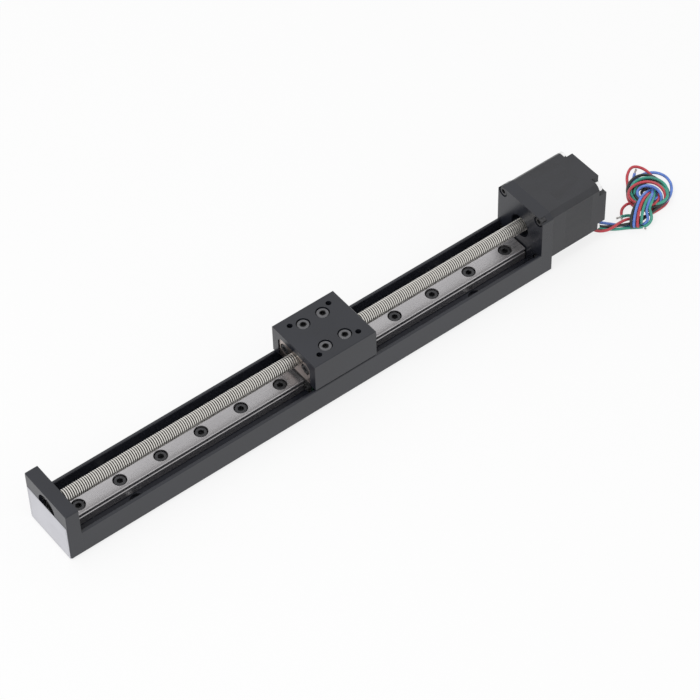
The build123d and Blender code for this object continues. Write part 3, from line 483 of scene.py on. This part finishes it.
MOTOR_PLASTICS = (
    ("seal_rubber", (0.012, 0.012, 0.013), 0.55,
     ("end_bearing_seals", "block_seal_front", "block_seal_rear")),
    ("guide_plastic", (0.8, 0.8, 0.78), 0.4, ("lead_guide",)),
)
GUIDE_METALS = (
    ("block_steel", (0.5, 0.49, 0.49), 0.32, ("guide_block",)),
    ("nut_block_metal", (0.46, 0.45, 0.44), 0.36, ("nut_block",)),
)
TINNED_WIRE = (0.72, 0.71, 0.68)


def paint_each(make, rows):
    """Paint every row of plain finishes with one kind of finish."""
    for name, colour, roughness, nodes in rows:
        paint(make(name, colour, roughness), *nodes)


# Mesh helpers

SMOOTH_ANGLE = math.radians(40.0)


def mesh_piece(name, build, material, body):
    """A mesh piece made by a function that fills a bmesh, riding on a body."""
    work = bmesh.new()
    build(work)
    bmesh.ops.recalc_face_normals(work, faces=work.faces[:])
    mesh = bpy.data.meshes.new(name)
    work.to_mesh(mesh)
    work.free()
    for polygon in mesh.polygons:
        polygon.use_smooth = True
    mesh.set_sharp_from_angle(angle=SMOOTH_ANGLE)
    mesh.materials.append(material)
    piece = bpy.data.objects.new(name, mesh)
    bpy.context.scene.collection.objects.link(piece)
    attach(piece, body)
    return piece


def closed_tube(work, rings):
    """Faces from each ring of vertices to the next, and one across each end."""
    for first, second in zip(rings, rings[1:]):
        count = len(first)
        for i in range(count):
            j = (i + 1) % count
            work.faces.new((first[i], first[j], second[j], second[i]))
    work.faces.new(rings[0])
    work.faces.new(rings[-1])


# Screw thread

THREAD_SEGMENTS = 28
# Share of the pitch, and share of the thread's depth there
THREAD_PROFILE = ((0.0, 0.0), (0.42, 0.0), (0.68, 1.0), (0.78, 1.0))
THREAD_WELD = 0.01 * MM
THREAD_SLIVER = 0.005 * MM
JOURNAL_RADIUS = 2.5 * MM
JOURNAL_BEVEL = 0.5 * MM


def round_the_axis(angle, radius):
    """Y and Z at an angle round the screw's axis."""
    return radius * math.sin(angle), AXIS_HEIGHT + radius * math.cos(angle)


def threaded_screw(work, sizes):
    """The whole screw: a right-hand helical thread between two plain journals."""
    thread_start = high("end_bearing_inner_ring").x
    thread_end = low("motor_bearing_inner_rings").x
    crest = sizes.thread_diameter / 2
    pitch = sizes.thread_pitch
    rows = len(THREAD_PROFILE)
    turns = int((thread_end - thread_start) / pitch) + 2
    grid = []
    for row in range(-rows, turns * rows):
        share, depth = THREAD_PROFILE[row % rows]
        line = []
        for step in range(THREAD_SEGMENTS):
            angle = math.tau * step / THREAD_SEGMENTS
            x = thread_start + pitch * (row // rows + share + step / THREAD_SEGMENTS)
            inside = thread_start < x < thread_end
            radius = crest - sizes.thread_depth * (depth if inside else 1.0)
            x = min(max(x, thread_start), thread_end)
            line.append(work.verts.new((x, *round_the_axis(angle, radius))))
        grid.append(line)
    for index, line in enumerate(grid[:-1]):
        after = grid[index + 1]
        for step in range(THREAD_SEGMENTS - 1):
            work.faces.new((line[step], line[step + 1], after[step + 1], after[step]))
        if index + rows + 1 < len(grid):
            wrap = grid[index + rows]
            wrap_after = grid[index + rows + 1]
            work.faces.new((line[-1], wrap[0], wrap_after[0], after[-1]))
    bmesh.ops.remove_doubles(work, verts=work.verts[:], dist=THREAD_WELD)
    bmesh.ops.dissolve_degenerate(work, edges=work.edges[:], dist=THREAD_SLIVER)
    journal(work, thread_start, low("lead_screw").x, -1)
    journal(work, thread_end, high("lead_screw").x, 1)


def journal(work, inner, outer, side):
    """A plain bearing seat with a bevelled outer end, on one side of the thread."""
    profile = ((outer, JOURNAL_RADIUS - JOURNAL_BEVEL), (outer - side * JOURNAL_BEVEL, JOURNAL_RADIUS),
               (inner, JOURNAL_RADIUS))
    rings = []
    for x, radius in profile:
        angles = [math.tau * step / THREAD_SEGMENTS for step in range(THREAD_SEGMENTS)]
        rings.append([work.verts.new((x, *round_the_axis(angle, radius))) for angle in angles])
    closed_tube(work, rings)


# Motor leads. Millimetres, X from the motor's rear face, Y across and Z up

GUIDE_START = Vector((-7.8, -7.2, 4.5))
GUIDE_END = Vector((-1.2, -1.7, 4.5))
LEAD_PITCH = 1.5
FIRST_RUN = 4.2
LEAD_COUNT = 4

# The ring of turns: its middle on the floor, its lean for each millimetre of height, and angles in degrees
RING_CENTRE = (31.9, -7.2)
RING_LEAN = (-0.42, -0.38)
RING_END = 1004.0
POINTS_A_TURN = 20
FAR_SIDE = 30.0
NEAR_SIDE = 210.0
ENTRY_TURNS = 0.28


@dataclass
class Lead:
    """One lead's route: to the ring, round it, back through its middle and over the near side to its end.

    index: place in the guide, from its start.
    to_ring, to_end: points before and after the turns.
    start: angle where the turns start, in degrees.
    far, near: radius and height on the ring's far and near side, a pair for each turn.
    entry: radius and height to add where the turns start, which fade out.
    swells: angle, width, added radius and added height of each place where it strays from its turn.
    """

    index: int
    to_ring: list
    start: float
    far: list
    near: list
    entry: tuple
    swells: list
    to_end: list

    def exit_points(self):
        """The exit on the guide's slanted side and the end of the straight run out of it."""
        side = GUIDE_END - GUIDE_START
        along = side.normalized()
        outward = Vector((along.y, -along.x, 0.0))
        first = (side.length - (LEAD_COUNT - 1) * LEAD_PITCH) / 2
        leaves = GUIDE_START + along * (first + self.index * LEAD_PITCH)
        return [leaves, leaves + outward * FIRST_RUN]

    def ring_points(self):
        """The turns, spread out on the far side of the ring and gathered on the near side."""
        points = []
        steps = round((RING_END - self.start) / 360.0 * POINTS_A_TURN)
        for step in range(steps + 1):
            turned = step / POINTS_A_TURN
            angle = self.start + 360.0 * turned
            away = (1.0 + math.cos(math.radians(angle - FAR_SIDE))) / 2
            far_radius, far_height = eased(self.far, (angle - FAR_SIDE) / 360.0)
            near_radius, near_height = eased(self.near, (angle - NEAR_SIDE) / 360.0)
            radius = near_radius + (far_radius - near_radius) * away
            height = near_height + (far_height - near_height) * away
            settle = 1.0 - smooth(turned / ENTRY_TURNS)
            radius += self.entry[0] * settle
            height += self.entry[1] * settle
            for centre, width, wider, higher in self.swells:
                swell = math.exp(-((angle - centre) / width) ** 2)
                radius += wider * swell
                height += higher * swell
            around = (math.cos(math.radians(angle)), math.sin(math.radians(angle)))
            x, y = [centre + lean * height + radius * share
                    for centre, lean, share in zip(RING_CENTRE, RING_LEAN, around)]
            points.append(Vector((x, y, height)))
        return points

    def points(self):
        """The whole route in metres in the frame."""
        route = self.exit_points()
        route += [Vector(p) for p in self.to_ring]
        route += self.ring_points()
        route += [Vector(p) for p in self.to_end]
        return [Vector((MOTOR_END, 0.0, 0.0)) + p * MM for p in route]


def smooth(share):
    """Ease from 0 to 1."""
    share = min(max(share, 0.0), 1.0)
    return share * share * (3.0 - 2.0 * share)


def eased(values, position):
    """Ease from each pair of values to the next, at rest on whole numbers."""
    position = min(max(position, 0.0), len(values) - 1.0)
    index = min(int(position), len(values) - 2)
    share = smooth(position - index)
    return [a + (b - a) * share for a, b in zip(values[index], values[index + 1])]


LEADS = {
    "red": Lead(
        index=0,
        to_ring=[
            (-1.3, -11.9, 3.4), (2.4, -13.6, 3.0), (5.6, -13.9, 3.2), (9.2, -13.7, 3.4), (13.2, -14.0, 3.3),
            (17.2, -15.4, 2.4), (21.6, -16.6, 1.4), (26.2, -16.7, 0.9),
        ],
        start=-90.0,
        far=[(8.9, 1.0), (6.5, 5.8), (5.3, 2.2), (5.0, 0.8)],
        near=[(9.3, 0.8), (7.35, 4.7), (8.6, 2.1), (5.2, 0.9)],
        entry=(0.0, 0.0),
        swells=[(70.0, 28.0, 8.8, 4.6), (515.0, 45.0, 1.6, 0.9), (660.0, 35.0, -1.6, -0.5)],
        to_end=[
            (34.2, -11.2, 0.8), (33.6, -8.9, 1.8), (31.8, -8.9, 3.6), (29.9, -9.9, 5.2), (27.2, -11.4, 7.2),
            (23.4, -13.0, 8.2), (19.9, -15.0, 7.7), (17.3, -16.9, 6.6), (15.1, -18.8, 5.2),
            (14.2, -19.9, 3.0), (15.7, -18.9, 1.0), (19.0, -15.4, 0.65), (22.0, -11.4, 0.9),
            (22.6, -8.4, 2.0), (20.4, -7.1, 3.0), (17.4, -7.3, 3.0), (15.2, -8.2, 2.3), (14.2, -9.6, 1.6),
        ],
    ),
    "green": Lead(
        index=1,
        to_ring=[
            (0.6, -11.2, 3.2), (4.5, -13.3, 2.0), (7.8, -15.0, 1.4), (11.0, -16.3, 1.0), (14.2, -18.4, 0.9),
            (17.4, -20.6, 0.9), (20.0, -21.4, 2.2), (22.0, -20.6, 3.6), (22.9, -18.6, 5.0),
            (23.2, -17.3, 6.2), (25.0, -16.2, 6.9), (27.6, -14.6, 6.6), (30.2, -12.5, 5.6),
            (32.2, -10.6, 4.6), (34.0, -9.0, 3.4),
        ],
        start=10.0,
        far=[(7.6, 2.4), (9.6, 4.9), (7.2, 3.9), (5.0, 1.8)],
        near=[(6.7, 0.8), (6.7, 3.4), (5.3, 3.4), (5.2, 2.0)],
        entry=(-2.9, -0.2),
        swells=[(665.0, 40.0, 1.7, 1.0)],
        to_end=[
            (33.2, -12.4, 2.0), (33.0, -10.4, 2.8), (31.6, -10.2, 4.2), (30.0, -11.2, 5.6),
            (27.5, -12.6, 7.2), (23.9, -14.3, 8.0), (20.6, -16.3, 7.4), (18.3, -18.1, 6.2),
            (16.9, -19.4, 4.8), (16.6, -19.7, 3.0), (17.8, -18.2, 1.5), (18.8, -15.6, 0.8),
            (18.4, -12.8, 0.65), (16.4, -10.8, 1.2), (13.4, -10.0, 1.2),
        ],
    ),
    "black": Lead(
        index=2,
        to_ring=[
            (0.7, -10.2, 3.9), (3.9, -12.0, 3.0), (7.4, -13.5, 2.3), (11.0, -15.2, 2.3), (14.6, -16.9, 2.3),
            (18.4, -17.8, 2.2), (22.6, -17.4, 2.4), (27.0, -17.0, 2.5),
        ],
        start=-90.0,
        far=[(11.0, 3.8), (9.6, 2.6), (4.6, 1.0), (4.4, 0.8)],
        near=[(8.1, 3.4), (6.0, 2.1), (6.0, 4.7), (5.2, 1.0)],
        entry=(0.0, -0.9),
        swells=[(-20.0, 45.0, -2.8, -1.4), (62.0, 34.0, 1.2, 0.0)],
        to_end=[
            (35.3, -9.6, 0.8), (35.2, -7.0, 1.1), (33.6, -5.0, 1.6), (31.2, -4.6, 2.2), (28.9, -5.9, 3.2),
            (27.2, -8.4, 4.9), (24.4, -10.8, 6.7), (20.4, -12.2, 7.3), (17.4, -13.6, 6.9),
            (15.0, -15.2, 6.0), (12.9, -17.0, 4.8), (12.2, -18.1, 2.8), (13.4, -17.9, 1.0),
            (15.6, -17.4, 0.65), (17.4, -18.6, 0.9), (17.2, -20.4, 1.2),
        ],
    ),
    "blue": Lead(
        index=3,
        to_ring=[
            (2.4, -8.8, 4.1), (4.9, -10.8, 3.4), (7.4, -12.6, 2.6), (10.4, -14.2, 1.3), (13.6, -16.2, 0.9),
            (16.4, -18.4, 0.9), (18.6, -20.0, 1.7), (20.3, -20.0, 3.0), (21.0, -18.7, 4.3),
            (21.5, -17.2, 5.8), (23.3, -15.9, 7.1), (26.4, -14.2, 7.5), (29.4, -12.2, 6.5),
            (31.6, -10.0, 5.2), (33.8, -8.0, 3.6),
        ],
        start=32.0,
        far=[(6.4, 1.2), (10.9, 2.6), (3.9, 6.3), (4.6, 1.6)],
        near=[(7.4, 2.1), (8.1, 0.8), (4.6, 4.9), (5.2, 2.2)],
        entry=(-1.6, 0.4),
        swells=[(386.0, 44.0, 3.3, 0.4)],
        to_end=[
            (34.8, -10.8, 1.4), (34.4, -8.4, 2.2), (32.4, -7.4, 3.4), (30.2, -8.4, 4.9), (27.6, -9.8, 7.0),
            (22.8, -11.8, 8.4), (19.1, -13.9, 7.8), (16.4, -15.8, 6.6), (14.0, -17.8, 5.2),
            (13.0, -18.9, 3.0), (14.3, -18.1, 1.0), (18.4, -14.6, 0.65), (23.0, -9.4, 0.65),
            (27.6, -3.0, 0.65), (31.0, 1.8, 1.4), (33.0, 3.8, 2.6), (34.4, 4.6, 3.4),
        ],
    ),
}


BEVEL_RESOLUTION = 4
CURVE_RESOLUTION = 6


def lead_curve(name, points, radius, material):
    """A lead as one smooth open spline."""
    curve = bpy.data.curves.new(name, "CURVE")
    curve.dimensions = "3D"
    curve.bevel_depth = radius
    curve.bevel_resolution = BEVEL_RESOLUTION
    curve.resolution_u = CURVE_RESOLUTION
    curve.use_fill_caps = True
    spline = curve.splines.new("NURBS")
    spline.points.add(len(points) - 1)
    for control, place in zip(spline.points, points):
        control.co = (*place, 1.0)
    spline.order_u = 3
    spline.use_endpoint_u = True
    curve.materials.append(material)
    piece = bpy.data.objects.new(name, curve)
    bpy.context.scene.collection.objects.link(piece)
    return piece


STRAND_SIDES = 8
STRAND_STEPS = 14
STRAND_TWIST = 1.1
STRANDS_AROUND = 6
STRAND_SPREAD = 0.35
END_OVERLAP = 0.25


def bared_end(work, start, heading, sizes):
    """Seven twisted tinned wires, one in the middle and six round it."""
    across = heading.orthogonal().normalized()
    upward = heading.cross(across).normalized()
    radius = sizes.strand_diameter / 2
    for strand in range(STRANDS_AROUND + 1):
        rings = []
        for step in range(STRAND_STEPS + 1):
            share = step / STRAND_STEPS
            angle = math.tau * (strand / STRANDS_AROUND + STRAND_TWIST * share)
            out = 0.0 if strand == STRANDS_AROUND else 2 * radius * (1.0 + STRAND_SPREAD * share * share)
            middle = start + heading * (sizes.bared_length * share)
            middle += (across * math.cos(angle) + upward * math.sin(angle)) * out
            ring = []
            for side in range(STRAND_SIDES):
                around = math.tau * side / STRAND_SIDES
                offset = (across * math.cos(around) + upward * math.sin(around)) * radius
                ring.append(work.verts.new(middle + offset))
            rings.append(ring)
        closed_tube(work, rings)


# Studio

CAMERA_PLACE = (-0.451937, -0.628450, 0.900507)
CAMERA_TURN = (0.71722951, 0.02119035, -0.65950585)
CAMERA_LENS = 146.615
SENSOR_WIDTH = 36.0
FLOOR_SIZE = 8.0
KEY_PLACE = (-0.55, -0.1, 1.15)
KEY_SIZE = 0.5
CAMERA_LIFT = 0.8
CAMERA_CLIP_END = 20.0
PATCH_WIDTH_SHARE = 0.8
WHITE = (1.0, 1.0, 1.0, 1.0)


def seen_directly(tree):
    """A socket that is 1 on rays from the camera, in gloss and through clear things, and 0 on others."""
    path = tree.nodes.new("ShaderNodeLightPath")
    seen = path.outputs["Is Camera Ray"]
    for kind in ("Is Glossy Ray", "Is Transmission Ray"):
        either = tree.nodes.new("ShaderNodeMath")
        either.operation = "MAXIMUM"
        tree.links.new(seen, either.inputs[0])
        tree.links.new(path.outputs[kind], either.inputs[1])
        seen = either.outputs["Value"]
    return seen


def floor_finish(colour):
    """Plain pale floor that the camera sees nearly white, still with the object's soft shadow.

    Right under the channel, where the floor shows only through the bolt holes, it isn't lifted.
    """
    finish = Finish("studio_floor", colour, roughness=0.9)
    cloud = finish.noise(per_mm=0.004, detail=2.0)
    finish.tint(cloud, colour, amount=0.01)
    finish.shader.inputs["Specular IOR Level"].default_value = 0.0
    white = finish.add("ShaderNodeEmission")
    white.inputs["Strength"].default_value = 1.0
    mix = finish.add("ShaderNodeMixShader")
    half_length = high("motor_plate").x * PER_MM
    half_width = PATCH_WIDTH_SHARE * high("base_channel").y * PER_MM
    along = finish.maths("GREATER_THAN", finish.maths("ABSOLUTE", finish.part("X")), half_length)
    across = finish.maths("GREATER_THAN", finish.maths("ABSOLUTE", finish.part("Y")), half_width)
    lift = finish.maths("MULTIPLY", finish.maths("MAXIMUM", along, across), CAMERA_LIFT)
    finish.link(finish.maths("MULTIPLY", seen_directly(finish.tree), lift), mix.inputs["Fac"])
    finish.link(finish.shader.outputs["BSDF"], mix.inputs[1])
    finish.link(white.outputs["Emission"], mix.inputs[2])
    output = finish.tree.nodes["Material Output"]
    finish.link(mix.outputs["Shader"], output.inputs["Surface"])
    return finish.material


def white_surround(strength):
    """A white world: full white to the eye and in gloss, plain level on the object."""
    world = bpy.data.worlds.new("surround")
    world.use_nodes = True
    nodes = world.node_tree.nodes
    links = world.node_tree.links
    plain = nodes["Background"]
    plain.inputs["Color"].default_value = WHITE
    plain.inputs["Strength"].default_value = strength
    white = nodes.new("ShaderNodeBackground")
    white.inputs["Color"].default_value = WHITE
    mix = nodes.new("ShaderNodeMixShader")
    links.new(seen_directly(world.node_tree), mix.inputs["Fac"])
    links.new(plain.outputs["Background"], mix.inputs[1])
    links.new(white.outputs["Background"], mix.inputs[2])
    links.new(mix.outputs["Shader"], nodes["World Output"].inputs["Surface"])
    bpy.context.scene.world = world


def plain_floor(colour):
    """The floor that the object stands on."""
    half = FLOOR_SIZE / 2
    mesh = bpy.data.meshes.new("floor")
    corners = [(-half, -half, 0.0), (half, -half, 0.0), (half, half, 0.0), (-half, half, 0.0)]
    mesh.from_pydata(corners, [], [(0, 1, 2, 3)])
    mesh.materials.append(floor_finish(colour))
    floor = bpy.data.objects.new("floor", mesh)
    bpy.context.scene.collection.objects.link(floor)


def key_light(power):
    """One large soft lamp above the bearing end."""
    lamp = bpy.data.lights.new("key", "AREA")
    lamp.shape = "DISK"
    lamp.size = KEY_SIZE
    lamp.energy = power
    key = bpy.data.objects.new("key", lamp)
    key.location = KEY_PLACE
    key.rotation_euler = (Vector((0.0, 0.0, 0.0)) - key.location).to_track_quat("-Z", "Y").to_euler()
    bpy.context.scene.collection.objects.link(key)


def photo_camera():
    """The camera at the photograph's angle."""
    data = bpy.data.cameras.new("camera")
    data.lens = CAMERA_LENS
    data.sensor_width = SENSOR_WIDTH
    data.clip_end = CAMERA_CLIP_END
    camera = bpy.data.objects.new("camera", data)
    camera.location = CAMERA_PLACE
    camera.rotation_euler = CAMERA_TURN
    bpy.context.scene.collection.objects.link(camera)
    bpy.context.scene.camera = camera


# Operators

class ACTUATOR_OT_studio(bpy.types.Operator):
    """Set up the plain floor, the white surround, the soft lamp and the camera"""

    bl_idname = "actuator.studio"
    bl_label = "Studio"

    def execute(self, context):
        """Build the stage."""
        studio = context.scene.actuator_studio
        context.scene.view_settings.view_transform = "Standard"
        white_surround(studio.surround)
        plain_floor(studio.floor)
        key_light(studio.key_power)
        photo_camera()
        return {"FINISHED"}


class ACTUATOR_OT_frame_finish(bpy.types.Operator):
    """Give the channel, the plates, the label and their screws their finishes"""

    bl_idname = "actuator.frame_finish"
    bl_label = "Channel and Plates"

    def execute(self, context):
        """Paint the base's own parts."""
        colours = context.scene.actuator_colours
        paint(anodised_aluminium(colours.anodised), "base_channel", "bearing_end_plate", "motor_plate",
              "carriage_cap")
        paint(silver_film(colours.label), "end_label")
        paint_each(black_oxide, SCREWS)
        paint(clamp_screw(CLAMP_SCREW_GREY), "carriage_screws")
        return {"FINISHED"}


class ACTUATOR_OT_motor_finish(bpy.types.Operator):
    """Give the motor's caps, stack, bearings, rotor and winding their finishes"""

    bl_idname = "actuator.motor_finish"
    bl_label = "Motor"

    def execute(self, context):
        """Paint the motor."""
        colours = context.scene.actuator_colours
        paint(motor_coat(colours.motor), "motor_front_cap", "motor_rear_cap")
        paint(motor_stack(colours.motor), "motor_stator")
        paint_each(machined_metal, MOTOR_METALS)
        paint_each(moulded_plastic, MOTOR_PLASTICS)
        return {"FINISHED"}


class ACTUATOR_OT_guide_finish(bpy.types.Operator):
    """Give the rail, the guide block and the nut their finishes"""

    bl_idname = "actuator.guide_finish"
    bl_label = "Guide and Nut"

    def execute(self, context):
        """Paint the guide."""
        colours = context.scene.actuator_colours
        paint(ground_rail(colours.rail), "guide_rail")
        paint_each(machined_metal, GUIDE_METALS)
        paint(moulded_plastic("end_cap_plastic", colours.end_cap, roughness=0.4), "block_end_cap_front",
              "block_end_cap_rear")
        paint(turned_bronze(colours.nut), "drive_nut")
        return {"FINISHED"}


class ACTUATOR_OT_thread(bpy.types.Operator):
    """Build the threaded lead screw with its plain journals"""

    bl_idname = "actuator.thread"
    bl_label = "Lead Screw"

    def execute(self, context):
        """Make the screw."""
        sizes = context.scene.actuator_sizes
        material = rolled_thread(context.scene.actuator_colours.thread, sizes)
        screw = mesh_piece("threaded_screw", lambda work: threaded_screw(work, sizes), material,
                           "screw")
        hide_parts("lead_screw")
        return {"FINISHED"}


class ACTUATOR_OT_leads(bpy.types.Operator):
    """Lay the four motor leads out of their guide, round their hank and to their bared ends"""

    bl_idname = "actuator.leads"
    bl_label = "Motor Leads"

    def execute(self, context):
        """Make the leads and their ends."""
        sizes = context.scene.actuator_sizes
        colours = context.scene.actuator_colours
        tinned = machined_metal("tinned_wire", TINNED_WIRE, roughness=0.28)
        for name, lead in LEADS.items():
            points = lead.points()
            material = lead_insulation(f"insulation_{name}", getattr(colours, name))
            piece = lead_curve(f"motor_lead_{name}", points, sizes.lead_diameter / 2, material)
            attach(piece, "base")
            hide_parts(f"lead_{name}", "lead_hank")
            end = points[-1]
            heading = (end - points[-2]).normalized()
            start = end - heading * sizes.lead_diameter * END_OVERLAP
            tip = mesh_piece(f"bared_end_{name}", lambda work: bared_end(work, start, heading, sizes), tinned,
                             "base")
        return {"FINISHED"}


class ACTUATOR_PT_panel(bpy.types.Panel):
    """The actuator's pieces, sizes and colours in the sidebar"""

    bl_idname = "ACTUATOR_PT_panel"
    bl_label = "Actuator"
    bl_space_type = "VIEW_3D"
    bl_region_type = "UI"
    bl_category = "Actuator"

    def draw(self, context):
        """List the settings and the operators."""
        scene = context.scene
        for group in (scene.actuator_sizes, scene.actuator_colours, scene.actuator_studio):
            box = self.layout.box()
            for key in group.__annotations__:
                box.prop(group, key)
        for operator in OPERATORS:
            self.layout.operator(operator.bl_idname)


OPERATORS = (
    ACTUATOR_OT_studio,
    ACTUATOR_OT_frame_finish,
    ACTUATOR_OT_motor_finish,
    ACTUATOR_OT_guide_finish,
    ACTUATOR_OT_thread,
    ACTUATOR_OT_leads,
)
CLASSES = (ActuatorSizes, ActuatorColours, ActuatorStudio, *OPERATORS, ACTUATOR_PT_panel)


def register():
    """Add the classes and the scene's settings."""
    for item in CLASSES:
        bpy.utils.register_class(item)
    bpy.types.Scene.actuator_sizes = PointerProperty(type=ActuatorSizes)
    bpy.types.Scene.actuator_colours = PointerProperty(type=ActuatorColours)
    bpy.types.Scene.actuator_studio = PointerProperty(type=ActuatorStudio)


def unregister():
    """Take the classes and the settings away."""
    del bpy.types.Scene.actuator_studio
    del bpy.types.Scene.actuator_colours
    del bpy.types.Scene.actuator_sizes
    for item in reversed(CLASSES):
        bpy.utils.unregister_class(item)


def main():
    """Register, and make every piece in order."""
    register()
    bpy.ops.actuator.studio()
    bpy.ops.actuator.frame_finish()
    bpy.ops.actuator.motor_finish()
    bpy.ops.actuator.guide_finish()
    bpy.ops.actuator.thread()
    bpy.ops.actuator.leads()


if __name__ == "__main__":
    main()
